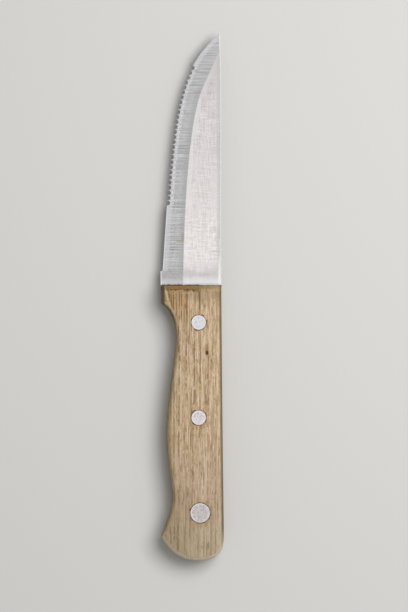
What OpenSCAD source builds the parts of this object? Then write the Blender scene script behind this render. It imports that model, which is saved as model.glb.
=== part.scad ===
// Steak knife: a serrated fixed blade with a full tang, between two wooden scales that three
// two-part rivets hold. The knife lies on its side: +Y points to the tip, +X to the spine and
// +Z up. The origin is under the middle of the knife, on the face that it rests on. Millimetres.

/* [Blade] */
// Length of the blade, from the front of the scales to the tip
blade_l = 101.6; // [90:0.1:125]
// Thickness of the steel strip that the blade and tang are cut from
stock_t = 1.5; // [1.2:0.1:2.5]
// Width of the blade at its heel
heel_w = 24.5; // [22:0.1:28]
// Length of the heel, which has no cutting edge
heel_l = 5.7; // [3:0.1:10]
// How far the cutting edge is set back from the heel
heel_step = 0.85; // [0.3:0.05:1.6]
// Thickness left at the edge of the heel
heel_t = 0.9; // [0.6:0.05:1.2]
// Thickness left at the cutting edge
edge_t = 0.25; // [0.15:0.05:0.5]
// Width of the blade where the teeth end and the point begins
point_w = 11.5; // [9:0.1:14]
// Length of the point, in front of the teeth
point_l = 13.1; // [10:0.1:16]
// Width of the blunt end of the tip
tip_w = 0.2; // [0.15:0.05:0.6]
// How far the spine falls to the tip
spine_fall = 0.55; // [0.2:0.05:1.5]
// Length over which the spine falls
spine_fall_l = 30; // [10:1:40]
// Width of the flat side at the heel
flat_heel_w = 15.4; // [12:0.1:19]
// Width of the flat side where the grind line turns to the spine
flat_turn_w = 7.5; // [6:0.1:10]
// Distance from the tip back to where the grind line turns
flat_turn_l = 22; // [19:0.1:30]
// Least width of the flat strip along the spine
spine_land = 0.6; // [0.3:0.05:0.9]
// Height of the small shoulder that grinding leaves on the spine beside the scales
shoulder_h = 0.2; // [0.1:0.05:0.5]
// Length of that shoulder
shoulder_l = 3.2; // [2:0.1:5]

/* [Teeth] */
// Number of notches
tooth_n = 28; // [8:1:32]
// Distance from the first notch to the second
tooth_pitch = 1.96; // [1.7:0.01:2.2]
// Depth of a notch
tooth_depth = 1.25; // [0.6:0.05:1.5]
// Distance from the tip back to the first notch
tooth_start = 14; // [12:0.1:20]
// Radius of the flute that is ground for each notch
flute_r = 1; // [0.9:0.05:1.4]
// Slope of a flute against the blade
flute_angle = 25; // [18:1:40]

/* [Handle] */
// Length of the handle
handle_l = 110.9; // [100:0.1:130]
// Thickness of each scale
scale_t = 5.75; // [4.5:0.05:9]
// How far the guard is set back from the heel
guard_back = 0.25; // [0.1:0.05:1]
// Length of the guard, from the front of the scales to the finger notch
guard_l = 7.5; // [5:0.1:10]
// How far the tang stands out of the scales at the guard
tang_proud = 0.35; // [0.1:0.05:0.8]
// Width at the waist, in the finger notch
waist_w = 18.3; // [15:0.05:21]
// Width at the belly
belly_w = 22.15; // [20:0.05:26]
// Width at the neck, before the butt
neck_w = 19.8; // [17:0.1:22]
// How far the beak of the butt is set back from the line of the heel
beak_back = 0.2; // [0:0.05:2]
// Length of the rounded butt, behind the beak
butt_l = 9.9; // [7:0.1:13]
// How far the back of the handle leans out by the butt
back_flare = 1.05; // [0.5:0.05:3]
// How far the back is hollowed along its length
back_hollow = 0.08; // [0.04:0.02:0.4]
// Reach of the rounding on the finger side
belly_round = 2.4; // [1:0.1:3]
// Reach of the rounding on the back
back_round = 1.4; // [0.8:0.1:3]
// Reach of the rounding across the front end
front_round = 2.4; // [1:0.1:3]
// Height of the rounding
round_h = 2; // [1:0.1:3]
// Radius of the front corners, seen from above
corner_r = 1; // [0.5:0.1:2]

/* [Rivets] */
// Distance of the front and middle rivets from the line of the spine
rivet_line = 9.1; // [7:0.1:11]
// Distance of the front rivet from the front of the scales
front_rivet_l = 15; // [12:0.1:20]
// Distance of the butt rivet from the line of the spine
butt_rivet_line = 8.5; // [7:0.1:11]
// Distance of the butt rivet from the end of the butt
butt_rivet_l = 19.2; // [14:0.1:24]
// Head diameter of the two small rivets
small_head_d = 6; // [5:0.1:7]
// Tube diameter of the small rivets
small_tube_d = 4; // [3.4:0.1:4.6]
// Pin diameter of the small rivets
small_pin_d = 2.5; // [1.8:0.1:2.8]
// Head diameter of the large butt rivet
large_head_d = 8; // [6.5:0.1:9.5]
// Tube diameter of the large rivet
large_tube_d = 5; // [4.2:0.1:6]
// Pin diameter of the large rivet
large_pin_d = 3.2; // [2.4:0.1:3.6]
// Thickness of a rivet head
head_t = 1.4; // [1:0.1:2]
// Chamfer round a head and at the end of a pin
rivet_chamfer = 0.12; // [0.05:0.01:0.3]

/* [Fits] */
// Gap round a rivet head in its counterbore
head_gap = 0.12; // [0.05:0.01:0.25]
// Gap between a rivet tube and its hole in a scale
scale_hole_gap = 0.05; // [0.02:0.01:0.15]
// Gap between a rivet tube and its hole in the tang
tang_hole_gap = 0.1; // [0.05:0.01:0.2]
// Gap between a pin and the bore that it is pressed into
pin_gap = 0.01; // [0.005:0.005:0.03]
// How far a head lies below the face of its scale
head_sink = 0.05; // [0.02:0.01:0.2]
// Gap between the mouth of a tube and the head of its pin
mouth_gap = 0.5; // [0.2:0.1:1]
// Thickness of metal below the bore of a tube, and gap below the end of its pin
tube_floor = 0.8; // [0.4:0.1:1.2]

/* [Hidden] */
$fn = 64;
overrun = 1;

// Levels of the pieces, from the face that the knife rests on
steel_z = scale_t;
upper_z = scale_t + stock_t;
handle_t = upper_z + scale_t;
steel_mid = steel_z + stock_t / 2;

// The origin lies under the middle of the knife's length and width
edge_side = max(heel_w, belly_w);
spine_side = max(back_flare, shoulder_h);
mid_x = (spine_side - edge_side) / 2;
mid_y = (blade_l - handle_l) / 2;

// The cutting edge: a long slow curve to the end of the teeth, then the curve of the point.
// Angles are from the line of the spine. A reach is how far a curve holds its end direction.
edge_heel_angle = 3.7;
edge_point_angle = 28.8;
edge_tip_angle = 47;
edge_w = heel_w - heel_step;
edge_y = heel_l + heel_step / 3;
point_y = blade_l - point_l;
edge_heel_share = 0.556;
edge_teeth_share = 0.2;
point_share = 0.363;
tip_share = 0.597;
teeth_curve = reached([-edge_w, edge_y], edge_heel_angle, edge_heel_share * (point_y - edge_y),
                      [-point_w, point_y], edge_point_angle, edge_teeth_share * (point_y - edge_y));
point_curve = reached([-point_w, point_y], edge_point_angle, point_share * point_l,
                      [-spine_fall - tip_w, blade_l], edge_tip_angle, tip_share * point_l);

// The grind line: a slow curve, then a straight run that meets the spine behind the tip
flat_turn_angle = 24.2;
flat_heel_angle = 0.4;
flat_turn_y = blade_l - flat_turn_l;
flat_heel_share = 0.175;
flat_turn_share = 0.209;
grind_curve = reached([-flat_heel_w, 0], flat_heel_angle, flat_heel_share * flat_turn_y,
                      [-flat_turn_w, flat_turn_y], flat_turn_angle, flat_turn_share * flat_turn_y);
land_share = 0.4;
teeth_steps = 26;
point_steps = 14;

// Each gap between notches is wider than the one before it by this share of the pitch
tooth_growth_share = 0.0022;

// Widths at the guard, of the tang and of the scales that it stands out of, and at the beak
guard_w = heel_w - guard_back;
scale_front_w = guard_w - tang_proud;
beak_w = heel_w - beak_back;

// The handle's outline: places along the handle as shares of its length
waist_share = 0.206;
belly_share = 0.546;
neck_share = 0.766;
waist_y = -handle_l * waist_share;
belly_y = -handle_l * belly_share;
neck_y = -handle_l * neck_share;
beak_y = butt_l - handle_l;
butt_low_share = 0.428;
butt_low = [back_flare - butt_low_share * (beak_w + back_flare), -handle_l];
notch_angle = 60;
beak_angle = 22;
butt_angle = 27;
curve_steps = 9;
round_steps = 6;
corner_steps = 4;
notch_shares = [0.38, 0.35];
belly_shares = [0.13, 0.37];
neck_shares = [0.375, 0.114];
beak_shares = [0.32, 0.29];
butt_shares = [0.34, 0.6];
back_shares = [1, 0.306];

// Each rivet: its place, then the diameters of its head, tube and pin
front_rivet = [[-rivet_line, -front_rivet_l], small_head_d, small_tube_d, small_pin_d];
butt_rivet = [[-butt_rivet_line, butt_rivet_l - handle_l], large_head_d, large_tube_d, large_pin_d];
middle_rivet = [[-rivet_line, (front_rivet[0].y + butt_rivet[0].y) / 2],
                small_head_d, small_tube_d, small_pin_d];
rivets = [front_rivet, middle_rivet, butt_rivet];
seat_z = head_sink + head_t;
bore_floor_z = seat_z + tube_floor;

// Direction at an angle from the line of the spine, toward the tip and the spine
function heading(angle) = [sin(angle), cos(angle)];

// Cubic curve from a to b, which leaves a and reaches b at the given angles
function reached(a, angle_a, reach_a, b, angle_b, reach_b) =
    [a, a + reach_a * heading(angle_a), b - reach_b * heading(angle_b), b];

// Point of a cubic curve at t, from 0 to 1
function on_curve(c, t) =
    pow(1 - t, 3) * c[0] + 3 * pow(1 - t, 2) * t * c[1] + 3 * (1 - t) * t * t * c[2] + pow(t, 3) * c[3];

// The curve's points, without its last one, where the next curve starts
function traced(c, steps) = [for (i = [0:steps - 1]) on_curve(c, i / steps)];

// Where a curve that climbs along the knife crosses the place y, found by halving
function crossing(c, y, low = 0, high = 1, left = 24) =
    let (mid = (low + high) / 2)
    left == 0 ? on_curve(c, mid).x
    : on_curve(c, mid).y < y ? crossing(c, y, mid, high, left - 1)
    : crossing(c, y, low, mid, left - 1);

// Edge, grind line and spine of the blade at the place y
function edge_x(y) =
    y <= heel_l ? -heel_w
    : y <= edge_y ? -edge_w
    : y <= point_y ? crossing(teeth_curve, y)
    : crossing(point_curve, y);
function grind_x(y) =
    y <= flat_turn_y ? crossing(grind_curve, y)
    : (y - flat_turn_y) * tan(flat_turn_angle) - flat_turn_w;
function spine_x(y) = -spine_fall * pow(max(0, y - blade_l + spine_fall_l) / spine_fall_l, 2);
function edge_half(y) = (y <= heel_l ? heel_t : edge_t) / 2;

// Half of the blade's thickness at x, and x where its bevel ends, at the place y
function half_at(x, y) =
    let (e = edge_x(y), part = (x - e) / (grind_x(y) - e))
    edge_half(y) + (stock_t / 2 - edge_half(y)) * min(1, part);
function bevel_end(y) =
    min(grind_x(y), spine_x(y) - min(spine_land, land_share * (spine_x(y) - edge_x(y))));

// The blade's section at the place y: edge, bevel end and spine, on both faces
function blade_ring(y) =
    let (xs = [edge_x(y), bevel_end(y), spine_x(y)],
         hs = [edge_half(y), half_at(xs[1], y), half_at(xs[1], y)])
    concat([for (i = [0:2]) [xs[i], y, steel_mid + hs[i]]],
           [for (i = [2:-1:0]) [xs[i], y, steel_mid - hs[i]]]);

// The handle's outline from the guard round the butt to the back, anticlockwise
function grip_outline(front_w) =
    let (guard = [-front_w, -guard_l], waist = [-waist_w, waist_y], belly = [-belly_w, belly_y],
         neck = [-neck_w, neck_y], beak = [-beak_w, beak_y], back = [back_flare, beak_y])
    concat(traced(falling(guard, notch_angle, waist, 0, notch_shares), curve_steps),
           traced(falling(waist, 0, belly, 0, belly_shares), curve_steps),
           traced(falling(belly, 0, neck, 0, neck_shares), curve_steps),
           traced(falling(neck, 0, beak, -beak_angle, beak_shares), curve_steps),
           traced([beak, beak + butt_shares[0] * butt_l * [sin(butt_angle), -cos(butt_angle)],
                   butt_low + butt_shares[1] * [beak.x - butt_low.x, 0], butt_low], curve_steps),
           traced([butt_low, butt_low + back_shares[0] * [back.x - butt_low.x, 0],
                   back - back_shares[1] * [0, butt_l], back], curve_steps),
           traced(hollowed(back, [0, 0], back_hollow), curve_steps));

// Curve that runs toward the butt, with angles toward the spine and reaches as shares of its length
function falling(a, angle_a, b, angle_b, shares) =
    let (length = a.y - b.y)
    [a, a + shares[0] * length * [sin(angle_a), -cos(angle_a)],
     b - shares[1] * length * [sin(angle_b), -cos(angle_b)], b];

// Curve from a to b that is hollowed toward the blade's edge in the middle
function hollowed(a, b, depth) =
    let (third = (b - a) / 3, inward = [-4 * depth / 3, 0])
    [a, a + third + inward, b - third + inward, b];

// Arc of a front corner of the scales about a centre, from one angle to 90 degrees more
function corner_arc(centre, start) =
    [for (i = [0:corner_steps])
        let (angle = start + 90 * i / corner_steps) centre + corner_r * [cos(angle), sin(angle)]];

// Outline of the scales, which starts with the arcs of the two front corners
function scale_outline() =
    concat(corner_arc([-corner_r, -corner_r], 0),
           corner_arc([corner_r - scale_front_w, -corner_r], 90),
           grip_outline(scale_front_w));

// Reach of the rounding at a point, which grows from the back to the belly
function round_at(point) = back_round + (belly_round - back_round) * max(0, -point.x) / belly_w;

// How far outline point i moves inward over the whole rounding. The arcs of the front corners
// keep their form, so all points of an arc move alike.
function unit_normal(a, b) = [a.y - b.y, b.x - a.x] / norm(b - a);
function inset_at(p, i) =
    let (n = len(p), arc_n = corner_steps + 1,
         before = unit_normal(p[(i + n - 1) % n], p[i]),
         after = unit_normal(p[i], p[(i + 1) % n]))
    i < arc_n ? [-round_at(p[0]), -front_round]
    : i < 2 * arc_n ? [round_at(p[2 * arc_n - 1]), -front_round]
    : round_at(p[i]) * (before + after) / (1 + before * after);

// One ring of a scale: the outline drawn in by a share of the rounding's reach
function scale_ring(p, share, z) =
    [for (i = [0:len(p) - 1]) let (q = p[i] + inset_at(p, i) * share) [q.x, q.y, z]];

// Closed skin over rings of equal length, with flat ends
module skin(rings) {
    n = len(rings[0]);
    last = len(rings) - 1;
    function corner(ring, i) = ring * n + i % n;
    polyhedron(
        points = [for (ring = rings) each ring],
        faces = concat(
            [[for (i = [0:n - 1]) i]],
            [[for (i = [n - 1:-1:0]) corner(last, i)]],
            [for (ring = [0:last - 1], i = [0:n - 1])
                each [[corner(ring, i), corner(ring + 1, i), corner(ring + 1, i + 1)],
                      [corner(ring, i), corner(ring + 1, i + 1), corner(ring, i + 1)]]]));
}

// Moves a piece from the knife's own lines, spine and front of the scales, to the origin
module placed() {
    translate([-mid_x, -mid_y, 0]) children();
}

// The ground part of the blade, from the scales to the tip
module ground_blade() {
    rear = [for (i = [0:teeth_steps]) edge_y + (point_y - edge_y) * i / teeth_steps];
    front = [for (i = [1:point_steps]) point_y + point_l * i / point_steps];
    skin([for (y = concat([0, heel_l], rear, front)) blade_ring(y)]);
}

// The tang, which fills the handle's outline and stands out at the guard
module tang() {
    translate([0, 0, steel_z])
        linear_extrude(stock_t)
            polygon(concat([[0, 0], [-heel_w, 0]], grip_outline(guard_w)));
}

// The shoulder on the spine, a low bump that starts under the front of the scales
module shoulder() {
    back_y = -shoulder_l / 3;
    front_y = shoulder_l + back_y;
    translate([0, 0, steel_z])
        linear_extrude(stock_t)
            polygon([[-shoulder_h, front_y], [-shoulder_h, back_y], [0, back_y],
                     [shoulder_h, 0], [shoulder_h, front_y / 2], [0, front_y]]);
}

// One flute: a round groove that slopes through the edge and leaves a notch
module flute(y) {
    x = edge_x(y) + tooth_depth;
    run_out = (tooth_depth + overrun) / cos(flute_angle);
    run_in = stock_t / sin(flute_angle) + overrun;
    translate([x, y, steel_mid - half_at(x, y)])
        rotate([0, 90 - flute_angle, 0])
            translate([-flute_r, 0, -run_out])
                cylinder(r = flute_r, h = run_out + run_in);
}

// Round holes through the steel for the rivet tubes
module tang_holes() {
    for (rivet = rivets)
        translate([rivet[0].x, rivet[0].y, steel_z - overrun])
            cylinder(d = rivet[2] + 2 * tang_hole_gap, h = stock_t + 2 * overrun);
}

// The blade and tang, one piece of steel
module blade() {
    color("#cfcccb")
        placed()
            difference() {
                union() {
                    ground_blade();
                    tang();
                    shoulder();
                }
                for (i = [0:tooth_n - 1])
                    flute(blade_l - tooth_start - tooth_pitch * i * (1 + tooth_growth_share * i / 2));
                tang_holes();
            }
}

// A scale before its holes are cut, with its flat inner face at zero. Its skin runs past both
// faces, and a slab cuts it to its thickness. The last facet of the rounding is made twice as
// long for that, and is cut in its middle.
module scale_blank() {
    outline = scale_outline();
    angles = [for (i = [0:round_steps - 1]) 90 * i / round_steps];
    last = angles[round_steps - 1];
    intersection() {
        skin([scale_ring(outline, 0, -overrun),
              for (angle = angles)
                  scale_ring(outline, 1 - cos(angle), scale_t - round_h * (1 - sin(angle))),
              scale_ring(outline, 1 + cos(last), scale_t + round_h * (1 - sin(last)))]);
        translate([-edge_side - overrun, -handle_l - overrun, 0])
            cube([edge_side + spine_side + 2 * overrun, handle_l + 2 * overrun, scale_t]);
    }
}

// Hole for a rivet tube, and the counterbore that takes the head
module rivet_hole(rivet) {
    translate([rivet[0].x, rivet[0].y, -overrun])
        cylinder(d = rivet[2] + 2 * scale_hole_gap, h = scale_t + 2 * overrun);
    translate([rivet[0].x, rivet[0].y, scale_t - seat_z])
        cylinder(d = rivet[1] + 2 * head_gap, h = seat_z + overrun);
}

// One finished scale, with its outer face up
module scale_slab() {
    difference() {
        scale_blank();
        for (rivet = rivets) rivet_hole(rivet);
    }
}

module upper_scale() {
    color("#c2a680") placed() translate([0, 0, upper_z]) scale_slab();
}

module lower_scale() {
    color("#bd9f78") placed() translate([0, 0, steel_z]) mirror([0, 0, 1]) scale_slab();
}

// Half of a rivet with a head below and a tube above
module rivet_tube(rivet) {
    head_r = rivet[1] / 2;
    tube_r = rivet[2] / 2;
    bore_r = rivet[3] / 2 + pin_gap;
    mouth_z = handle_t - seat_z - mouth_gap;
    color("#bcbabb")
        placed()
            translate([rivet[0].x, rivet[0].y, 0])
                rotate_extrude()
                    polygon([[0, head_sink], [head_r - rivet_chamfer, head_sink],
                             [head_r, head_sink + rivet_chamfer], [head_r, seat_z], [tube_r, seat_z],
                             [tube_r, mouth_z], [bore_r, mouth_z], [bore_r, bore_floor_z],
                             [0, bore_floor_z]]);
}

// Half of a rivet with a head above and a pin below
module rivet_pin(rivet) {
    head_r = rivet[1] / 2;
    pin_r = rivet[3] / 2;
    end_z = bore_floor_z + tube_floor;
    top_z = handle_t - head_sink;
    color("#dcdadb")
        placed()
            translate([rivet[0].x, rivet[0].y, 0])
                rotate_extrude()
                    polygon([[0, top_z], [head_r - rivet_chamfer, top_z],
                             [head_r, top_z - rivet_chamfer], [head_r, handle_t - seat_z],
                             [pin_r, handle_t - seat_z], [pin_r, end_z + rivet_chamfer],
                             [pin_r - rivet_chamfer, end_z], [0, end_z]]);
}

module front_rivet_tube() { rivet_tube(front_rivet); }
module front_rivet_pin() { rivet_pin(front_rivet); }
module middle_rivet_tube() { rivet_tube(middle_rivet); }
module middle_rivet_pin() { rivet_pin(middle_rivet); }
module butt_rivet_tube() { rivet_tube(butt_rivet); }
module butt_rivet_pin() { rivet_pin(butt_rivet); }

blade();
upper_scale();
lower_scale();
front_rivet_tube();
front_rivet_pin();
middle_rivet_tube();
middle_rivet_pin();
butt_rivet_tube();
butt_rivet_pin();
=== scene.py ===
"""Steak knife that lies on its side: a serrated steel blade with a full tang, two riveted
wooden scales and six rivet halves. Until a mesh is made, lengths are in millimetres, and x and
y are measured from the knife's own lines: x = 0 is the spine and y = 0 the front of the
scales. A mesh is in metres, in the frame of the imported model."""

import bpy
import numpy as np
from mathutils import Matrix, Vector


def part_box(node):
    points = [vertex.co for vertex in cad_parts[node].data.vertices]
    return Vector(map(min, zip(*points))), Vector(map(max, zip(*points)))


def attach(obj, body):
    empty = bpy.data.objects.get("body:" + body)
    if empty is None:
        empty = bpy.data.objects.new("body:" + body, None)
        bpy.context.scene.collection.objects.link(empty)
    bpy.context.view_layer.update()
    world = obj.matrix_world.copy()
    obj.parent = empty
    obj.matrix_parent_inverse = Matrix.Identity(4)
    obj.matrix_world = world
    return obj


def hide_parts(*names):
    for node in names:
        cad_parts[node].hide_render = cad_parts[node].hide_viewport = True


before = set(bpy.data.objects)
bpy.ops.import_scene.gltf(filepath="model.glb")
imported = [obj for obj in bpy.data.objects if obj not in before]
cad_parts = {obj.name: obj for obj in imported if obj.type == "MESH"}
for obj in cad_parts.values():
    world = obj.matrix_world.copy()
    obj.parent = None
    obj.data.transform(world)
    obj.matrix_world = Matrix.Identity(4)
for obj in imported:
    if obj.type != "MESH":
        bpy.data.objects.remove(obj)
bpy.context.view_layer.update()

# The blade and its tang: one strip of stainless steel, blanked, then ground from both faces.
# The broad bevel is ground across the blade, each notch is a round flute ground from the upper
# face alone, and the flat beside it keeps the satin finish of the strip.
blade_l, heel_w, heel_l, heel_step, heel_angle = 101.6, 24.5, 5.7, 0.85, 3.7
stock_t, heel_t, edge_t, heel_break = 1.5, 0.9, 0.25, 0.15
point_w, point_l, point_angle, tip_w, tip_angle = 11.5, 13.1, 28.8, 0.2, 47
spine_fall, spine_fall_l, spine_land, land_share = 0.55, 30.0, 0.6, 0.4
flat_heel_w, flat_heel_angle = 15.4, 0.4
flat_turn_w, flat_turn_l, flat_turn_angle = 7.5, 22.0, 24.2
shoulder_h, shoulder_l = 0.2, 3.2
tooth_n, tooth_pitch, tooth_growth = 28, 1.96, 0.0022
tooth_depth, tooth_start, flute_r, flute_angle = 1.25, 14.0, 1.0, np.radians(25)
micro_bevel, micro_share = 0.5, 0.3
spine_round, round_share, drop_share = 0.38, 0.25, 0.5
thinnest, least_ledge = 0.02, 0.05
handle_l, guard_w, guard_l = 110.9, 24.25, 7.5
tang_edge_step, tang_corner, tang_narrow_w = 0.4, 0.02, 1.7
steel_low, steel_mid, steel_top = 5.75, 6.5, 7.25

# Where the knife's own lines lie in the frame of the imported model.
box_low, box_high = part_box("blade")
shift_x = heel_w + box_low.x * 1000
shift_y = box_high.y * 1000 - blade_l


def on_curve(corners, count=2001):
    """Points, evenly spaced in t from 0 to 1, on the cubic curve over four corners:
    (1-t)^3 a + 3 (1-t)^2 t b + 3 (1-t) t^2 c + t^3 d."""
    a, b, c, d = (np.asarray(p, float) for p in corners)
    t = np.linspace(0, 1, count)[:, None]
    return (1 - t) ** 3 * a + 3 * (1 - t) ** 2 * t * b + 3 * (1 - t) * t ** 2 * c + t ** 3 * d


def swept(a, angle_a, b, angle_b, shares):
    """Corners of the cubic curve from a to b, toward the tip or the butt. The inner two lie at
    shares of its length along y, in directions that turn toward the spine by the angles."""
    a, b = np.array(a, float), np.array(b, float)
    way, length = np.sign(b[1] - a[1]), abs(b[1] - a[1])
    leaves, arrives = [np.array([np.sin(turn), way * np.cos(turn)])
                       for turn in np.radians([angle_a, angle_b])]
    return a, a + shares[0] * length * leaves, b - shares[1] * length * arrives, b


def x_along(corners, y):
    """x at which a curve that climbs along the knife crosses each y."""
    points = on_curve(corners)
    return np.interp(y, points[:, 1], points[:, 0])


edge_y, point_y = heel_l + heel_step / 3, blade_l - point_l
turn_y = blade_l - flat_turn_l
teeth_curve = swept((heel_step - heel_w, edge_y), heel_angle,
                    (-point_w, point_y), point_angle, (0.556, 0.2))
point_curve = swept((-point_w, point_y), point_angle,
                    (-spine_fall - tip_w, blade_l), tip_angle, (0.363, 0.597))
grind_curve = swept((-flat_heel_w, 0), flat_heel_angle,
                    (-flat_turn_w, turn_y), flat_turn_angle, (0.175, 0.209))


def spaced(corners, step=0.6):
    """Points of a cubic curve at even lengths of about step, without the last one."""
    points = on_curve(corners)
    length = np.insert(np.cumsum(np.hypot(*np.diff(points, axis=0).T)), 0, 0)
    at = np.linspace(0, length[-1], int(np.ceil(length[-1] / step)) + 1)[:-1]
    return np.column_stack([np.interp(at, length, points[:, i]) for i in (0, 1)])


def grip_outline(front_w, front_y=0.0):
    """Outline of the handle from the guard round the butt to the back, anticlockwise: cubic
    curves guard to waist, belly, neck and beak, then round the butt and along the back."""
    guard, waist, belly = (-front_w, -guard_l), (-18.3, -22.845), (-22.15, -60.551)
    neck, beak = (-19.8, -84.949), (-24.3, -101.0)
    low, back, front = [np.array(p) for p in ((-9.8, -handle_l), (1.05, -101.0), (0, front_y))]
    guard_angle, beak_angle, butt_angle = 60, -22, np.radians(27)
    butt_reach, low_share, back_reach = 3.366, 0.6, 3.03
    back_third, hollow = (front - back) / 3, np.array((-0.107, 0))
    butt_in = np.array(beak) + butt_reach * np.array((np.sin(butt_angle), -np.cos(butt_angle)))
    return np.concatenate([
        spaced(swept(guard, guard_angle, waist, 0, (0.38, 0.35))),
        spaced(swept(waist, 0, belly, 0, (0.13, 0.37))),
        spaced(swept(belly, 0, neck, 0, (0.375, 0.114))),
        spaced(swept(neck, 0, beak, beak_angle, (0.32, 0.29))),
        spaced((beak, butt_in, low + (low_share * (beak[0] - low[0]), 0), low)),
        spaced((low, low + (back[0] - low[0], 0), back - (0, back_reach), back)),
        spaced((back, back + back_third + hollow, front - back_third + hollow, front), step=3.0)])


def skin(rings):
    """Closed surface over rings of equal length, which run anticlockwise seen from where the
    rings go: quads from each ring to the next, and one flat face over each end."""
    count, n = rings.shape[:2]
    i = np.arange(n)
    low = (np.arange(count - 1)[:, None] * n + i).ravel()
    side = (np.arange(count - 1)[:, None] * n + (i + 1) % n).ravel()
    quads = np.column_stack([low, side, side + n, low + n])
    faces = [i[::-1].tolist(), (i + (count - 1) * n).tolist()] + quads.tolist()
    return rings.reshape(-1, 3), faces


def piece(name, points, faces, finishes, finish_of_face=None, from_lines=None, crease=30):
    """Puts points, in millimetres from the knife's lines, and faces into a mesh in metres. Faces
    take their finish by number, and edges that turn more than crease degrees stay sharp. The UV
    map, where there is one, holds each point's distances from the grind line and the edge."""
    mesh = bpy.data.meshes.new(name)
    mesh.from_pydata(((points + (shift_x, shift_y, 0)) / 1000).tolist(), [], faces)
    for finish in finishes:
        mesh.materials.append(finish)
    if finish_of_face is not None:
        mesh.polygons.foreach_set("material_index", np.asarray(finish_of_face, np.int32))
    mesh.polygons.foreach_set("use_smooth", np.ones(len(mesh.polygons), bool))
    mesh.set_sharp_from_angle(angle=np.radians(crease))
    if from_lines is not None:
        corner = np.empty(len(mesh.loops), np.int32)
        mesh.loops.foreach_get("vertex_index", corner)
        mesh.uv_layers.new(name="from_lines").uv.foreach_set("vector", from_lines[corner].ravel())
    mesh.update()
    made = bpy.data.objects.new(name, mesh)
    bpy.context.scene.collection.objects.link(made)
    return made


def lathe(profile, centre, steps=72):
    """Solid of revolution about an upright axis at centre: each (radius, height) of the profile
    is carried round a circle. The profile's ends lie on the axis, the lower one first, and a fan
    of triangles runs from each to the circle beside it."""
    r, z = np.asarray(profile[1:-1], float).T[:, :, None]
    turn = np.arange(steps) * 2 * np.pi / steps
    points, faces = skin(np.stack([centre[0] + r * np.cos(turn), centre[1] + r * np.sin(turn),
                                   np.broadcast_to(z, (len(z), steps))], axis=2))
    poles = [(*centre, profile[end][1]) for end in (0, -1)]
    fans = [np.column_stack([ring, np.roll(ring, -1), np.full(steps, len(points) + k)])
            for k, ring in enumerate(faces[:2])]
    return np.vstack([points, poles]), faces[2:] + np.vstack(fans).tolist()


def bored(target, cutters, crease=30):
    """Cuts solids out of a piece with a Boolean modifier, which is applied."""
    for k, (points, faces) in enumerate(cutters):
        cutter = piece(f"cutter{k}", points, faces, [])
        cut = target.modifiers.new("bore", "BOOLEAN")
        cut.operation, cut.solver, cut.object = "DIFFERENCE", "EXACT", cutter
        bpy.context.view_layer.update()
        whole = target.evaluated_get(bpy.context.evaluated_depsgraph_get())
        cut_mesh = bpy.data.meshes.new_from_object(whole)
        target.modifiers.clear()
        target.data = cut_mesh
        bpy.data.objects.remove(cutter)
    target.data.set_sharp_from_angle(angle=np.radians(crease))


# Sections of the steel from the butt to the tip, each from the edge over the top to the spine
# and back below. Notches are flutes of radius r whose floor rises from the lower face at
# flute_angle: at dy from its middle a flute lies (r - sqrt(r^2 - dy^2)) / cos(angle) higher.
tang_outline = grip_outline(guard_w)
lowest = int(np.argmin(tang_outline[:, 1]))
left_side = np.vstack([tang_outline[:lowest + 1][::-1], [(-guard_w, -guard_l), (-heel_w, 0)]])
right_side = np.vstack([tang_outline[lowest:], [(0, 0)]])

notch_i = np.arange(tooth_n)
notch_y = blade_l - tooth_start - tooth_pitch * notch_i * (1 + tooth_growth * notch_i / 2)


def edge_x(y):
    """x of the edge before it is notched: the heel's side, the teeth's curve, the point's curve."""
    return np.where(y <= heel_l, -heel_w,
                    np.where(y <= point_y, x_along(teeth_curve, y), x_along(point_curve, y)))


def grind_x(y):
    """x of the grind line: its curve as far as the turn, then a straight line to the spine."""
    straight = (y - turn_y) * np.tan(np.radians(flat_turn_angle)) - flat_turn_w
    return np.where(y <= turn_y, x_along(grind_curve, y), straight)


def bevel_slope(y):
    """Edge position, half thickness there, and growth of the half thickness per millimetre."""
    half = np.where(y <= heel_l, heel_t, edge_t) / 2
    return edge_x(y), half, (stock_t / 2 - half) / (grind_x(y) - edge_x(y))


def section_rows():
    """y of every section: rows close together at the heel, about 0.8 mm apart along the blade
    and 0.3 at the point, 24 steps for each tooth, and the outline's own points along the tang.
    The first row moves in a little, so that it has a width."""
    half_pitch = tooth_pitch / 2
    teeth = (notch_y[:, None] + np.linspace(-1, 1, 25) * half_pitch).ravel()
    overrun = np.linspace(half_pitch, flute_r, 3)
    heel = [0, 0.7, 1.4, 2.1, 3, 4, heel_l, edge_y]
    blade = np.concatenate([heel, np.linspace(6.5, blade_l, 120), teeth, notch_y[0] + overrun,
                            notch_y[-1] - overrun, np.linspace(blade_l - 12, blade_l, 40)])
    shoulder = [-0.05, -1.07, -guard_l]
    tang = np.concatenate([tang_outline[:, 1], shoulder])
    rows = np.unique(np.round(np.concatenate([tang[tang < -0.01], blade]), 4))
    rows[0] += 0.002
    return rows


# The outlines in every section. The bump is the small shoulder of the spine at the scales.
y = section_rows()
on_blade = y >= 0
edge, edge_half, slope = bevel_slope(y)
fall = spine_fall * (np.maximum(0, y - blade_l + spine_fall_l) / spine_fall_l) ** 2
spine = np.where(on_blade, -fall, np.interp(y, right_side[:, 1], right_side[:, 0]))
third = shoulder_l / 3
bump = np.interp(y, [-third, 0, third, 2 * third], [0, shoulder_h, shoulder_h, 0])
back = spine + bump
tang_left = np.interp(y, left_side[:, 1], left_side[:, 0])
width = spine - edge
land = np.minimum(grind_x(y), spine - np.minimum(spine_land, land_share * width))


def half_at(x):
    """Half thickness of the steel at x on the bevel of every section."""
    return edge_half + slope * (x - edge)


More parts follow.
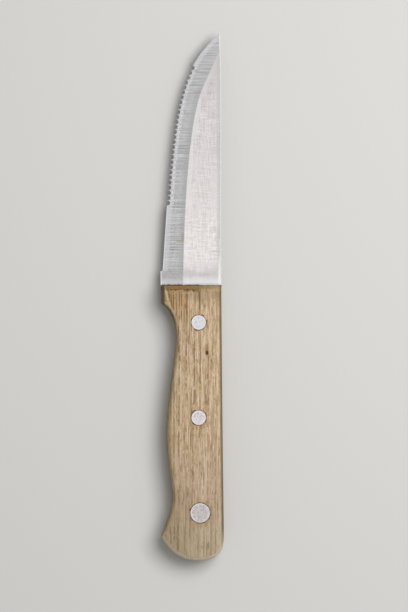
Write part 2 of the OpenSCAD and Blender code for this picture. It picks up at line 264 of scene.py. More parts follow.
# A flute goes through the lower face at through_x and runs out of the upper face at run_out_x.
notch_edge, notch_half, notch_slope = bevel_slope(notch_y)
notch_x = notch_edge + tooth_depth
notch_under = notch_half + notch_slope * tooth_depth
dy = y[:, None] - notch_y
in_flute = np.abs(dy) < flute_r
rise = (flute_r - np.sqrt(np.maximum(0, flute_r ** 2 - dy ** 2))) / np.cos(flute_angle)
tilt = np.tan(flute_angle)
flute_z, face_z = notch_under + notch_x * tilt - rise, (edge_half - slope * edge)[:, None]
through_x = (flute_z - face_z) / (tilt + slope[:, None])
run_out_x = (flute_z + face_z) / (tilt - slope[:, None])
floor_z = -notch_under + (edge[:, None] - notch_x) * tilt + rise
nowhere = 99
through_x = np.where(in_flute, through_x, -nowhere).max(axis=1)
run_out_x = np.where(in_flute, run_out_x, -nowhere).max(axis=1)
floor_z = np.where(in_flute, floor_z, nowhere).min(axis=1)

# Points round a section: from the edge over the honed strip, the grind line and the spine's
# broken corner to the lower face, and back. The tang is plain, and its points close up where it
# is narrow, round the butt.
edge_line = np.maximum(edge, through_x)
notched = through_x > edge
fluted = run_out_x > edge + micro_bevel
low_in = edge_line + np.minimum(micro_bevel, micro_share * (land - edge))
top_in = np.where(fluted, np.minimum(run_out_x, land - least_ledge), low_in)
plain_edge = np.where(y <= heel_l, half_at(edge_line) - heel_break, thinnest)
top_edge = np.where(fluted, np.minimum(floor_z, plain_edge), plain_edge)
top_edge = np.where(notched, thinnest - half_at(edge_line), top_edge)
low_edge = np.where(notched, half_at(edge_line), plain_edge)
half_land = np.minimum(stock_t / 2, half_at(land))
corner = np.minimum(spine_round, round_share * width)
drop = np.minimum(corner, drop_share * half_land)
blade_x = [edge_line, top_in, land, back - corner, back,
           back, back - corner, land, low_in, edge_line]
blade_z = [top_edge, half_at(top_in), half_land, half_land, half_land - drop,
           drop - half_land, -half_land, -half_land, -half_at(low_in), -low_edge]
tang_x = [tang_left, tang_left + tang_edge_step, tang_left + 2 * tang_edge_step,
          back - tang_corner, back]
tang_z = stock_t / 2 - np.array([0, 0, 0, 0, tang_corner])
on_tang = ~on_blade[:, None]
columns_x = np.where(on_tang, np.column_stack(tang_x + tang_x[::-1]), np.column_stack(blade_x))
columns_z = np.where(on_tang, np.append(tang_z, -tang_z[::-1]), np.column_stack(blade_z))
tang_w = spine - tang_left
narrow = on_tang & (tang_w < tang_narrow_w)[:, None]
places = np.array([-0.5, -0.3, -0.1, 0.4, 0.5])
shrunk = ((spine + tang_left) / 2)[:, None] + tang_w[:, None] * np.append(places, places[::-1])
columns_x = np.where(narrow, shrunk, columns_x)
columns_y = np.broadcast_to(y[:, None], columns_x.shape)
blade_rings = np.stack([columns_x, columns_y, steel_mid + columns_z], axis=2)


def linear(colour):
    """Linear RGBA of an sRGB hex value: c / 12.92 up to 0.04045, above it
    ((c + 0.055) / 1.055)^2.4."""
    c = np.array([int(colour[i:i + 2], 16) for i in (1, 3, 5)]) / 255
    return (*np.where(c <= 0.04045, c / 12.92, ((c + 0.055) / 1.055) ** 2.4), 1.0)


def put(tree, kind, inputs=None, out=0, stops=None, **settings):
    """Adds one node with its settings, values or links for its inputs and the stops of its
    colour ramp, and returns one output. A colour is given as its hex value."""
    new = tree.nodes.new(kind)
    for name, value in settings.items():
        setattr(new, name, value)
    for key, value in (inputs or {}).items():
        if isinstance(value, bpy.types.NodeSocket):
            tree.links.new(value, new.inputs[key])
        else:
            new.inputs[key].default_value = linear(value) if isinstance(value, str) else value
    if stops:
        ramp, ends = new.color_ramp.elements, {stops[0]: 0, stops[-1]: -1}
        for stop in stops:
            element = ramp[ends[stop]] if stop in ends else ramp.new(stop[0])
            element.position, element.color = stop[0], linear(stop[1])
    return new.outputs[out] if new.outputs else new


def material(name):
    """An empty material, its node tree and the place on the object in millimetres."""
    made = bpy.data.materials.new(name)
    made.use_nodes = True
    tree = made.node_tree
    tree.nodes.clear()
    metres = put(tree, "ShaderNodeTexCoord", out="Object")
    mm = put(tree, "ShaderNodeVectorMath", {0: metres, 1: (1000, 1000, 1000)}, operation="MULTIPLY")
    return made, tree, mm


def streaks(tree, mm, size, detail=2, out=0, rough=0.6):
    """Soft streaks of the size, in millimetres along x, y and z: noise on the place divided by
    the size, with finer streaks of half the size added as often as detail says."""
    cells = put(tree, "ShaderNodeVectorMath", {0: mm, 1: size}, operation="DIVIDE")
    return put(tree, "ShaderNodeTexNoise",
               {"Vector": cells, "Scale": 1.0, "Detail": detail, "Roughness": rough}, out)


def turned(tree, colour, turns):
    """Turns a colour to others, one after another. Each turn is a colour, its greatest share and
    places: a value, where on it the turn begins, and where the share is reached. Where a turn
    has more places, their shares multiply."""
    for other, share, *places in turns:
        for value, begin, end in places:
            share = put(tree, "ShaderNodeMapRange", {0: value, 1: begin, 2: end, 4: share})
        colour = put(tree, "ShaderNodeMix", {0: share, 6: colour, 7: other}, 2, data_type="RGBA")
    return colour


def ground_metal(name, dark, light, line_sizes, contrast, roughness, turns=(), centre=None,
                 speckle=0.0):
    """Ground metal. Streaks of the line sizes, broad patches and a fine speckle set the tone
    between dark and light, and the lines also set the roughness and a low relief. The turns'
    places name an axis, in millimetres: across from the spine, along from the front of the
    scales, ground from the grind line, edge from the edge, or radius from a rivet's centre. These
    five wander by about half a millimetre. Places also name the specks, the patches or the
    lines."""
    made, tree, mm = material(name)
    lines = 0.0
    for size in line_sizes:
        lines = put(tree, "ShaderNodeMath",
                    {0: streaks(tree, mm, size, 4), 1: 1 / len(line_sizes), 2: lines},
                    operation="MULTIPLY_ADD")
    patches = streaks(tree, mm, (7, 11, 7))
    specks = streaks(tree, mm, (0.45, 0.45, 0.45), 1)
    tone = put(tree, "ShaderNodeMapRange", {0: lines, 1: 0.5 - contrast, 2: 0.5 + contrast})
    calm = put(tree, "ShaderNodeMapRange", {0: patches, 1: 0.4, 2: 0.6, 4: 0.6})
    tone = put(tree, "ShaderNodeMix", {0: calm, 2: tone, 3: 0.55})
    tone = put(tree, "ShaderNodeMix", {0: 0.2, 2: tone, 3: patches})
    tone = put(tree, "ShaderNodeMix", {0: speckle, 2: tone,
               3: put(tree, "ShaderNodeMapRange", {0: specks, 1: 0.35, 2: 0.65})})
    tint = put(tree, "ShaderNodeMix", {0: tone, 6: dark, 7: light}, 2, data_type="RGBA")
    wander = put(tree, "ShaderNodeMath",
                 {0: streaks(tree, mm, (0.9, 0.9, 0.9), 3), 1: 1.1, 2: -0.55},
                 operation="MULTIPLY_ADD")
    knife = put(tree, "ShaderNodeVectorMath", {0: mm, 1: (shift_x, shift_y, 0)},
                operation="SUBTRACT")
    lines_map = put(tree, "ShaderNodeUVMap", uv_map="from_lines")
    split, split_map = [put(tree, "ShaderNodeSeparateXYZ", {0: at}).node.outputs
                        for at in (knife, lines_map)]
    axes = {"across": split[0], "along": split[1], "ground": split_map[0], "edge": split_map[1]}
    if centre:
        flat = put(tree, "ShaderNodeVectorMath", {0: knife, 1: (*centre, 0)}, operation="SUBTRACT")
        flat = put(tree, "ShaderNodeVectorMath", {0: flat, 1: (1, 1, 0)}, operation="MULTIPLY")
        axes["radius"] = put(tree, "ShaderNodeVectorMath", {0: flat}, "Value", operation="LENGTH")
    axes = {axis: put(tree, "ShaderNodeMath", {0: value, 1: wander})
            for axis, value in axes.items()}
    axes |= {"specks": specks, "patches": patches, "lines": lines}
    tint = turned(tree, tint, [
        (colour, share, *[(axes[axis], begin, end) for axis, begin, end in places])
        for colour, share, *places in turns])
    matt = put(tree, "ShaderNodeMapRange",
               {0: lines, 1: 0.3, 2: 0.7, 3: roughness - 0.05, 4: roughness + 0.06})
    relief = put(tree, "ShaderNodeBump", {"Strength": 0.4, "Distance": 0.000006, "Height": lines})
    shader = put(tree, "ShaderNodeBsdfPrincipled",
                 {"Base Color": tint, "Metallic": 1.0, "Roughness": matt, "Normal": relief})
    put(tree, "ShaderNodeOutputMaterial", {"Surface": shader})
    return made


# Real grinding lines are about 0.05 mm apart. They are drawn up to ten times coarser, so that
# they show.
# Satin strip: even, warm white, with faint lines along and across it. It is a little brighter
# toward the scales, where a weave of lines shows, and duller toward the tip: painted light, as it
# falls along the blade. A painted highlight lies beside the grind line and a brighter one on the
# spine's corner, and the strip is duller along the spine. At the wood it is stained, with painted
# shade in the joint.
satin_flat = ground_metal(
    "satin_stainless_flat", "#aca4a5", "#f5f0ef", ((0.5, 5, 1), (4, 0.5, 3)), 0.13, 0.36, [
        ("#f6f1ef", 0.3, ("along", 75, 25)),
        ("#e3e3e2", 0.4, ("ground", 2.4, 1.2)),
        ("#fffaf6", 0.35, ("lines", 0.48, 0.56), ("along", 34, 22), ("along", 8, 10)),
        ("#c6c1c2", 0.65, ("along", 72, 90)),
        ("#c3bfbe", 0.5, ("across", -2.0, -1.4), ("along", 4, 12)),
        ("#b4b4b3", 0.42, ("along", 9.0, 5.0), ("patches", 0.57, 0.45)),
        ("#f4f4f8", 0.7, ("along", 4.0, 1.4)),
        ("#fbf5ee", 0.9, ("across", -1.6, -0.7), ("along", 14, 3)),
        ("#5a4426", 0.9, ("along", 0.45, 0.1), ("patches", 0.44, 0.52))], speckle=0.25)
# Bevel ground across the blade with a coarse belt: greyer, with plain lines from edge to flat.
# The lines are darkest toward the tip, and the steel is brighter beside the teeth.
ground_bevel = ground_metal(
    "cross_ground_stainless_bevel", "#737272", "#e6e5e6", ((16, 0.22, 4),), 0.09, 0.38, [
        ("#bcbbbc", 0.3, ("along", 30, 42)),
        ("#cccbcc", 0.35, ("along", 64, 88)),
        ("#969697", 0.6, ("lines", 0.49, 0.43), ("along", 70, 82)),
        ("#a3a2a1", 0.45, ("ground", -2.6, -0.9), ("along", 88, 76)),
        ("#cecdd0", 0.62, ("edge", 2.6, 1.6)),
        ("#f0f0f2", 0.42, ("edge", 3.1, 2.2), ("along", 28, 33), ("specks", 0.52, 0.62)),
        # Faint rust, as a line across the bevel, a smear beside the grind line and a spot.
        ("#a08a6c", 0.6, ("along", 17.2, 17.6), ("along", 18.4, 18.0), ("ground", -3.3, -2.6)),
        ("#a58f86", 0.5, ("along", 17.9, 18.4), ("along", 21.4, 20.6), ("ground", -1.3, -0.7)),
        ("#b3a382", 0.6, ("along", 85.8, 86.3), ("along", 87.4, 86.8), ("edge", 3.4, 2.8),
         ("edge", 1.2, 1.6))], speckle=0.2)
# Heel block, ground with a finer belt, brighter next to the scales, and stained at the wood with
# painted shade in the joint.
ground_heel = ground_metal(
    "fine_ground_stainless_heel", "#9a9999", "#c8c7c7", ((3, 0.5, 4),), 0.17, 0.38, [
        ("#dddce1", 0.75, ("along", 3.2, 1.0)),
        ("#5a4426", 0.9, ("along", 0.45, 0.1))], speckle=0.5)
# Flutes: fresh from a small wheel, bright and uneven.
ground_flutes = ground_metal(
    "wheel_ground_stainless_flutes", "#a8a8ab", "#efeff1", ((0.8, 0.5, 0.8),), 0.15, 0.32,
    speckle=0.4)
# Honed edge: finer than the bevel above it, and painted a little brighter, as a highlight along the
# edge.
honed_edge = ground_metal(
    "honed_stainless_edge", "#c4c4c5", "#e0e0e0", ((0.5, 2, 1),), 0.2, 0.3,
    [("#c0c0c1", 0.9, ("along", 80, 84))])
# Broken corners of the spine: nearly polished, and painted bright, as the highlight along the
# corner.
broken_corners = ground_metal(
    "polished_stainless_corners", "#e4e2e2", "#f6f4f4", ((1, 3, 1),), 0.3, 0.25)
# Blanked sides of the strip, seen along the spine and between the scales.
blanked_sides = ground_metal(
    "blanked_stainless_sides", "#a9a7a5", "#c9c7c6", ((0.4, 2.5, 0.7),), 0.25, 0.42)
# Faces of the tang, painted dark as the shade between the scales.
shaded_tang_steel = ground_metal(
    "shade_painted_stainless_tang", "#4c4535", "#837c70", ((0.5, 3, 1),), 0.2, 0.5)

# The finish of each band of faces round a section, from the edge over the top to the spine and
# back below.
finishes = [satin_flat, ground_bevel, ground_flutes, ground_heel, broken_corners, blanked_sides,
            honed_edge, shaded_tang_steel]
flat, bevel, flute, heel, broken, side, honed, tang = range(len(finishes))
points, faces = skin(blade_rings)
mid_y, heel_end = (y[1:] + y[:-1]) / 2, heel_l + 0.1
bands = np.tile([flute, bevel, flat, broken, side, broken, flat, bevel, honed, honed],
                (len(mid_y), 1))
bands[~fluted[1:] & ~fluted[:-1], 0] = honed
bands[mid_y < heel_end] = [honed, heel, flat, broken, side, broken, flat, heel, honed, side]
bands[mid_y < 0] = [tang, tang, tang, side, side, side, tang, tang, tang, side]
from_lines = np.stack([columns_x - land[:, None], columns_x - edge[:, None]], axis=2)
flute_crease = 12
blade = piece("serrated_blade_and_tang", points, faces, finishes,
              np.concatenate([[side, honed], bands.ravel()]), from_lines.reshape(-1, 2),
              flute_crease)

# Each rivet: its centre, then the diameters of its head, its tube and its pin. The holes in the
# tang are a little wider than the tubes.
rivets = {"front": ((-9.1, -15.0), 6, 4, 2.5), "middle": ((-9.1, -53.35), 6, 4, 2.5),
          "butt": ((-8.5, -91.7), 8, 5, 3.2)}
tang_gap, drill_low, drill_high = 0.1, 5, 8
bored(blade, [lathe([(0, drill_low), (tube / 2 + tang_gap, drill_low),
                     (tube / 2 + tang_gap, drill_high), (0, drill_high)], centre)
              for centre, head, tube, pin in rivets.values()], flute_crease)
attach(blade, "root")
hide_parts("blade")

# The two scales: slabs of pale, straight grained hardwood, glued and riveted to the tang, then
# sanded flush with it and rounded over. Their front ends are rounded more, and grime and a little
# rust have stained the wood where it meets the blade and the rivets. Their colour also carries
# painted shade on the roundings, the front and the belly side, and painted highlights on some
# crests.
scale_t, scale_front_w, corner_r, belly_w = 5.75, 23.9, 1.0, 22.15
belly_round, back_round, front_round, round_h, over_round = 2.4, 1.4, 2.4, 2.0, 1.08
front_round_l, guard_blend_l, front_middle_w, back_w = 6, 4, 12, 5
seat_z, head_gap, hole_gap = 1.45, 0.12, 0.05


def scale_rings():
    """Rings of a scale from its inner face up: the outline is drawn in by reach (1 - cos a)
    while it rises by height sin a, for a from 0 to 90 degrees, and then a little more within the
    flat outer face. The reach follows a normal that is averaged along about 5 mm, so that rings
    don't cross at the guard and the beak. As far back as the guard, the sides are drawn straight
    in and the front straight back instead, which blends into the rest at the spine."""
    turn = np.linspace(0, np.pi / 2, 9)
    right_arc = corner_r * np.column_stack([np.cos(turn) - 1, np.sin(turn) - 1])
    left_arc = np.column_stack([corner_r - scale_front_w - corner_r * np.sin(turn),
                                corner_r * (np.cos(turn) - 1)])
    side_y = -np.linspace(corner_r, guard_l, 12)[1:-1]
    left = np.column_stack([np.full(len(side_y), -scale_front_w), side_y])
    outline = np.concatenate([right_arc, left_arc, left, grip_outline(scale_front_w, -corner_r)])
    x, y = outline.T

    run = np.roll(outline, -1, axis=0) - np.roll(outline, 1, axis=0)
    normal = np.column_stack([-run[:, 1], run[:, 0]]) / np.hypot(*run.T)[:, None]
    window = np.hanning(11) / np.hanning(11).sum()
    padded = np.concatenate([normal[-5:], normal, normal[:5]])
    smooth = np.column_stack([np.convolve(padded[:, i], window, "valid") for i in (0, 1)])
    smooth /= np.hypot(*smooth.T)[:, None]
    reach = back_round + (belly_round - back_round) * np.clip(-x / belly_w, 0, 1)
    inset = smooth * reach[:, None]

    arcs = len(right_arc) + len(left_arc)
    in_front = np.column_stack([
        np.where(x > -front_middle_w, -back_round, reach[arcs]),
        -front_round * np.clip(1 + (y + corner_r) / front_round_l, 0, 1)])
    inset[y > -guard_l] = in_front[y > -guard_l]
    inset[:arcs, 1] = -front_round
    blend = np.clip((-guard_l - y) / guard_blend_l, 0, 1)[:, None]
    near = (y <= -guard_l) & (y > -guard_l - guard_blend_l) & (x > -back_w)
    inset[near] = blend[near] * inset[near] + (1 - blend[near]) * np.array((-back_round, 0))

    angle = np.linspace(0, np.pi / 2, 11)
    shares = np.concatenate([[0], 1 - np.cos(angle), [over_round]])[:, None, None]
    heights = np.concatenate([[0], scale_t - round_h * (1 - np.sin(angle)), [scale_t]])
    flat = outline + shares * inset
    upright = np.broadcast_to(heights[:, None, None], flat.shape[:2] + (1,))
    return np.concatenate([flat, upright], axis=2)


def off(tree, value, centre):
    """How far a value is from a centre, on either side."""
    away = put(tree, "ShaderNodeMath", {0: value, 1: centre}, operation="SUBTRACT")
    return put(tree, "ShaderNodeMath", {0: away}, operation="ABSOLUTE")


def hardwood(name, seed, knots=()):
    """Pale open-grained hardwood, sanded, dry from washing, and darker where hands and grime reach:
    growth, fibres and pores are streaks along y that sway together. Turns of colour follow places
    on the scale, the direction of the surface, the rivets and the knots. Those that follow the
    direction of the surface, the belly side and a few lines at the front and the guard are painted
    shade and painted highlight. Fibres and pores are drawn 0.2 and 0.4 mm wide, coarser than the
    real ones, so that they show."""
    made, tree, mm = material(name)
    moved = put(tree, "ShaderNodeVectorMath", {0: mm, 1: (31 * seed, 17 * seed, 5 * seed)})
    sway = streaks(tree, moved, (30, 110, 30), 1, "Color")
    lean = put(tree, "ShaderNodeVectorMath", {0: sway, 1: (0.9, 0, 0.9)}, operation="MULTIPLY")
    grain = put(tree, "ShaderNodeVectorMath", {0: moved, 1: lean})
    fibre_w, pore_w = 0.2, 0.4
    fibres, vessels = [
        put(tree, "ShaderNodeVectorMath", {0: grain, 1: (width, 0.05, width)}, operation="SNAP")
        for width in (fibre_w, pore_w)]
    tone = 0.0
    for at, size, detail, share in ((grain, (2.4, 150, 3), 2, 0.1),
                                    (fibres, (0.055, 15, 0.055), 4, 0.9)):
        tone = put(tree, "ShaderNodeMath",
                   {0: streaks(tree, at, size, detail, rough=0.85), 1: share, 2: tone},
                   operation="MULTIPLY_ADD")
    # From dark fibres to pale ones. The palest of all are a little greyer.
    wood = put(tree, "ShaderNodeValToRGB", {0: tone}, stops=[
        (0.4, "#977c58"), (0.59, "#e1caac"), (0.591, "#dbc7ae"), (1.0, "#ffffff")])

    # Places: across and along the scale, where the surface faces, and noises that roughen them.
    knife = put(tree, "ShaderNodeVectorMath", {0: mm, 1: (shift_x, shift_y, 0)},
                operation="SUBTRACT")
    across, along = put(tree, "ShaderNodeSeparateXYZ", {0: knife}).node.outputs[:2]
    facing = put(tree, "ShaderNodeTexCoord", out="Normal")
    normal = put(tree, "ShaderNodeSeparateXYZ", {0: facing}).node.outputs
    upward = put(tree, "ShaderNodeMath", {0: normal[2]}, operation="ABSOLUTE")
    fibre = streaks(tree, grain, (0.7, 9, 0.7), 2)
    blotch = streaks(tree, mm, (1.6, 1.2, 1.6), 3)
    cloud = streaks(tree, moved, (1.7, 7, 1.7), 2)
    line = streaks(tree, vessels, (0.061, 40, 0.061), 1)
    dash = streaks(tree, vessels, (0.067, 5, 0.067), 2)
    tint = streaks(tree, vessels, (0.083, 7, 0.083), 2)
    ragged = put(tree, "ShaderNodeMath", {0: blotch, 1: 1.6, 2: along}, operation="MULTIPLY_ADD")
    ragged = put(tree, "ShaderNodeMath", {0: tint, 1: 1.6, 2: ragged}, operation="MULTIPLY_ADD")
    slant = put(tree, "ShaderNodeMath", {0: along, 1: 0.27, 2: across}, operation="MULTIPLY_ADD")
    turns = [
        # Growth: yellower and pinker clouds, and oiled, warmer streaks behind the heel.
        ("#c6a56e", 0.2, (cloud, 0.5, 0.62), (along, -100, -60)),
        ("#c4a890", 0.25, (cloud, 0.48, 0.38)),
        ("#c49d5c", 0.22, (tint, 0.54, 0.66)),
        ("#cdb2a2", 0.25, (tint, 0.46, 0.34)),
        ("#cf9552", 0.65, (along, -22, -8), (across, -12, -17), (fibre, 0.45, 0.58)),
        # Grime of the hand along the belly and at the butt, and painted shade over the belly side.
        ("#a49080", 0.42, (along, -50, -92)),
        ("#b2ac90", 0.25, (along, -90, -100)),
        ("#8c7a58", 0.35, (across, -11, -22)),
        ("#6f5c42", 0.15, (across, -8, -13), (along, -76, -86)),
        # Pores: straight dark lines, broken into dashes.
        ("#5d4324", 0.75, (line, 0.56, 0.62), (dash, 0.4, 0.5), (across, 3, -8),
         (along, -150, -60)),
        ("#6a4f2c", 0.55, (dash, 0.39, 0.32)),
        ("#6f5a3c", 0.3, (line, 0.53, 0.6), (along, -78, -92)),
        ("#6b4a20", 0.5, (line, 0.5, 0.58), (along, -26, -12), (across, -5, -13)),
        # The stain at the front, which also paints the shade on the front rounding: dull behind it,
        # brown in it, rusty and streaked toward the edge side, pale toward the back, and a painted
        # highlight where it ends.
        ("#8f7340", 0.4, (fibre, 0.62, 0.42), (along, -9, -4)),
        ("#6f6a5a", 0.18, (along, -7.5, -4.8), (along, -1.8, -2.4)),
        ("#cbbd9e", 0.45, (off(tree, along, -2.9), 0.8, 0.2), (across, -9, -12),
         (blotch, 0.4, 0.55)),
        ("#8d754b", 0.5, (ragged, -1.3, -0.5)),
        ("#54391a", 0.7, (ragged, -1.6, -0.6), (dash, 0.53, 0.6)),
        ("#c9b084", 0.6, (ragged, -1.4, -0.5), (tint, 0.49, 0.42)),
        ("#4a3416", 0.6, (ragged, -1.4, -0.5), (blotch, 0.54, 0.62)),
        ("#7a5a2c", 0.7, (ragged, -1.4, -0.4), (across, -6, -11)),
        ("#bda57e", 0.65, (ragged, -1.4, -0.5), (across, -8, -3)),
        ("#4f3a18", 0.7, (off(tree, ragged, -0.15), 0.45, 0.15), (across, -6, -12),
         (tint, 0.42, 0.5)),
        ("#c4ae8b", 0.45, (off(tree, ragged, -0.75), 0.4, 0.15), (across, -12, -16)),
        ("#935804", 0.95, (ragged, -0.1, 0.4), (across, -13.8, -14.8), (dash, 0.3, 0.5)),
        # The guard: a painted highlight that runs back from its corner, and a line of painted shade
        # beside it.
        ("#6b5c2c", 0.6, (off(tree, slant, -22.0), 0.9, 0.3), (along, -11, -8),
         (fibre, 0.35, 0.5)),
        ("#dccba2", 0.6, (off(tree, slant, -23.0), 0.6, 0.1), (along, -12, -7),
         (blotch, 0.35, 0.5)),
        # Roundings: painted shade, with some grime, dull at first, then dark toward the sides, and
        # darkest at the spine.
        ("#85724f", 0.5, (upward, 0.995, 0.86), (upward, -0.2, 0.4), (along, -101, -98)),
        ("#4a3b23", 0.52, (upward, 0.96, 0.25), (upward, -0.2, 0.3),
         (off(tree, normal[1], 0), 0.6, 0.3), (along, -101, -98)),
        ("#5b4c30", 0.6, (upward, 0.995, 0.6), (normal[0], 0.05, 0.35), (upward, -0.2, 0.4),
         (along, -104, -97)),
        # Behind the guard they have a painted highlight on the crest with a band of painted shade
        # below it.
        ("#cdbb95", 0.6, (off(tree, upward, 0.89), 0.1, 0.04), (normal[1], -0.05, -0.2),
         (along, -26, -18)),
        ("#2c210f", 0.65, (upward, 0.76, 0.5), (normal[1], -0.05, -0.25), (along, -26, -18),
         (upward, -0.2, 0.3)),
        # Round the butt they carry a painted highlight, and beside the guard and in the joint at
        # the blade they are darkened with painted shade.
        ("#e0d2b6", 0.5, (upward, 0.999, 0.75), (normal[1], 0, -0.35), (along, -96, -102),
         (upward, -0.2, 0.4)),
        ("#41341e", 0.75, (across, -22.7, -23.2), (along, -8.6, -7.4), (upward, 0, 0.4)),
        ("#3c2c14", 0.85, (along, -0.35, -0.1))]

    # Grime round each rivet, and a stain that runs along the grain above and below it.
    crescent = streaks(tree, mm, (2.6, 2.6, 2.6), 1)
    for centre, head, tube, pin in rivets.values():
        offset = put(tree, "ShaderNodeVectorMath", {0: knife, 1: (*centre, 0)},
                     operation="SUBTRACT")
        for colour, share, squeeze, begins, whole, place in (
                ("#a8763c", 0.4, 0.75, 1.9, 0.85, (fibre, 0.4, 0.6)),
                ("#38260f", 0.95, 1, 1.4, 0.97, (crescent, 0.45, 0.56))):
            flat = put(tree, "ShaderNodeVectorMath", {0: offset, 1: (1, squeeze, 0)},
                       operation="MULTIPLY")
            away = put(tree, "ShaderNodeVectorMath", {0: flat}, "Value", operation="LENGTH")
            away = put(tree, "ShaderNodeMath", {0: blotch, 1: 1.8, 2: away},
                       operation="MULTIPLY_ADD")
            turns.append((colour, share, (away, head / 2 + begins, head / 2 + whole), place))

    # A pin knot: a dark core, with grain that darkens above and below it.
    for x, y in knots:
        for colour, share, place, (w, l) in (("#8a6a3c", 0.6, (x - 0.3, y + 1.1), (0.8, 2.4)),
                                             ("#4a2c04", 1.0, (x, y), (0.62, 1.0))):
            offset = put(tree, "ShaderNodeVectorMath", {0: knife, 1: (*place, 0)},
                         operation="SUBTRACT")
            flat = put(tree, "ShaderNodeVectorMath", {0: offset, 1: (1 / w, 1 / l, 0)},
                       operation="MULTIPLY")
            away = put(tree, "ShaderNodeVectorMath", {0: flat}, "Value", operation="LENGTH")
            turns.append((colour, share, (away, 1.2, 0.6)))

    wood = turned(tree, wood, turns)
    matt = put(tree, "ShaderNodeMapRange", {0: fibre, 1: 0.3, 2: 0.7, 3: 0.52, 4: 0.66})
    relief = put(tree, "ShaderNodeBump", {"Strength": 0.5, "Distance": 0.00008, "Height": tone})
    shader = put(tree, "ShaderNodeBsdfPrincipled",
                 {"Base Color": wood, "Roughness": matt, "Normal": relief,
                  "Specular IOR Level": 0.3})
    put(tree, "ShaderNodeOutputMaterial", {"Surface": shader})
    return made


rings = scale_rings()
upper = rings + (0, 0, steel_top)
lower = (rings * (1, 1, -1) + (0, 0, steel_low))[:, ::-1]
for name, body, side, knots in (("upper_wood_scale", upper, 1, [(-5.77, -27.2)]),
                                ("lower_wood_scale", lower, -1, [])):
    points, faces = skin(body)
    scale = piece(name, points, faces, [hardwood(f"sanded_hardwood_{name[:5]}", side, knots)])
    inner, outer = (steel_top, steel_top + scale_t) if side > 0 else (steel_low, 0)
    seat, holes = outer - side * seat_z, []
    for centre, head, tube, pin in rivets.values():
        tube_hole, head_hole = tube / 2 + hole_gap, head / 2 + head_gap
        hole = [(0, inner - side), (tube_hole, inner - side), (tube_hole, seat),
                (head_hole, seat), (head_hole, outer + side), (0, outer + side)]
        holes.append(lathe(hole[::side], centre))
    bored(scale, holes)
    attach(scale, "root")
    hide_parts(name[:5] + "_scale")

# The rivets: two-part cutler's rivets of aluminium. A headed tube comes from below, and a headed
# pin is driven into it from above. The heads are sunk in the scales and sanded flush.
head_t, head_sink, pin_gap, mouth_gap, tube_floor = 1.4, 0.05, 0.01, 0.5, 0.8
handle_t, pin_chamfer = 13.0, 0.12
rim = [(0.3, 0), (0.1, 0.03), (0, 0.13)]


def sanded_aluminium(name, dark, light, centre, r):
    """Soft bright aluminium, sanded with the wood: short scratches both ways, a mottled face
    and a brighter, burred rim."""
    return ground_metal(name, dark, light, ((0.7, 0.9, 1), (0.55, 0.45, 1)), 0.09, 0.4,
                        [("#eceaee", 0.6, ("radius", r - 0.9, r - 0.1))], centre, speckle=0.1)


alloy_tones = {"front": ("#bfbdbe", "#f1eff0"), "middle": ("#a39c9b", "#fbf4f6"),
               "butt": ("#918b8a", "#e4dedd")}
for name, (centre, head, tube, pin) in rivets.items():
    aluminium = sanded_aluminium(f"sanded_aluminium_{name}", *alloy_tones[name], centre, head / 2)
    tube_r, pin_r, bore = tube / 2, pin / 2, pin / 2 + pin_gap
    floor = head_sink + head_t + tube_floor
    foot, seat = floor + tube_floor, handle_t - seat_z
    mouth, top = seat - mouth_gap, handle_t - head_sink
    tube_half = [(0, head_sink), *[(head / 2 - inward, head_sink + h) for inward, h in rim],
                 (head / 2, seat_z), (tube_r, seat_z), (tube_r, mouth), (bore, mouth),
                 (bore, floor), (0, floor)]
    pin_half = [(0, foot), (pin_r - pin_chamfer, foot), (pin_r, foot + pin_chamfer),
                (pin_r, seat), (head / 2, seat),
                *[(head / 2 - inward, top - h) for inward, h in rim[::-1]], (0, top)]
    for half, profile in (("tube", tube_half), ("pin", pin_half)):
        made = piece(f"{name}_rivet_{half}_turned", *lathe(profile, centre, 96), [aluminium])
        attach(made, "root")
        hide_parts(f"{name}_rivet_{half}")

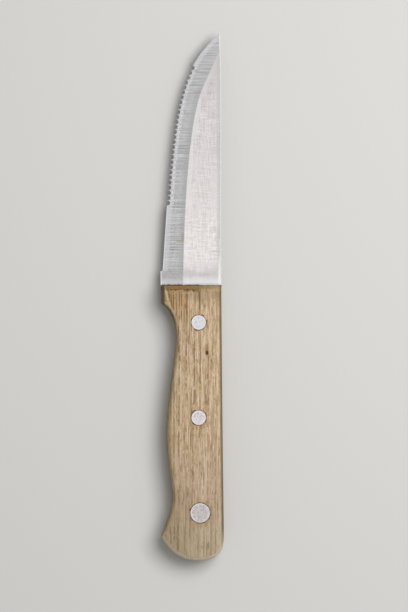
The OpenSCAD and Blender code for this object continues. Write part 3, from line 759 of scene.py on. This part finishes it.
# The studio: a plain pale table, a broad soft lamp overhead and an even white surround.
table_half, table_gap = 900, 0.05
paper, tree, mm = material("matt_pale_paper")
put(tree, "ShaderNodeOutputMaterial", {"Surface": put(tree, "ShaderNodeBsdfPrincipled", {
    "Base Color": "#d6d5d2", "Roughness": 0.9, "Specular IOR Level": 0.1})})
corners = np.array([(-1, -1, 0), (1, -1, 0), (1, 1, 0), (-1, 1, 0)]) * table_half
table = piece("table", corners - (0, 0, table_gap), [[0, 1, 2, 3]], [paper])

world = bpy.data.worlds.new("white_surround")
bpy.context.scene.world = world
world.use_nodes = True
tree = world.node_tree
tree.nodes.clear()
rays = put(tree, "ShaderNodeLightPath").node.outputs
seen = put(tree, "ShaderNodeMath", {0: rays["Is Camera Ray"], 1: rays["Is Glossy Ray"]},
           operation="MAXIMUM")
seen = put(tree, "ShaderNodeMath", {0: seen, 1: rays["Is Transmission Ray"]}, operation="MAXIMUM")
light_strength, seen_strength = 0.35, 1.0
strength = put(tree, "ShaderNodeMapRange", {0: seen, 3: light_strength, 4: seen_strength})
put(tree, "ShaderNodeOutputWorld", {"Surface": put(tree, "ShaderNodeBackground", {
    "Color": "#ffffff", "Strength": strength})})

lamp_place, lamp_size, lamp_watts = (0.3, 0.18, 0.75), 0.5, 5.4
lamp = bpy.data.lights.new("softbox", "AREA")
lamp.size, lamp.energy = lamp_size, lamp_watts
lamp_object = bpy.data.objects.new("softbox", lamp)
aim = Vector(lamp_place).to_track_quat("Z", "Y").to_matrix().to_4x4()
lamp_object.matrix_world = Matrix.Translation(lamp_place) @ aim
lamp_object.visible_glossy = False
bpy.context.scene.collection.objects.link(lamp_object)

# The camera looks straight down from 4 m through a long lens, and its frame, 408 by 612, is
# 164.5 mm wide on the blade. The sensor's width is that of the frame's long side.
camera_x, camera_y, camera_up, sensor, frame_w = 0.00475, -0.00374, 4.0, 36, 164.5
camera_data = bpy.data.cameras.new("camera")
camera_data.sensor_width = sensor
camera_data.lens = sensor * (camera_up * 1000 - steel_mid) / (frame_w * 612 / 408)
camera = bpy.data.objects.new("camera", camera_data)
camera.location = (camera_x, camera_y, camera_up)
bpy.context.scene.collection.objects.link(camera)
bpy.context.scene.camera = camera
bpy.context.scene.view_settings.view_transform = "Standard"
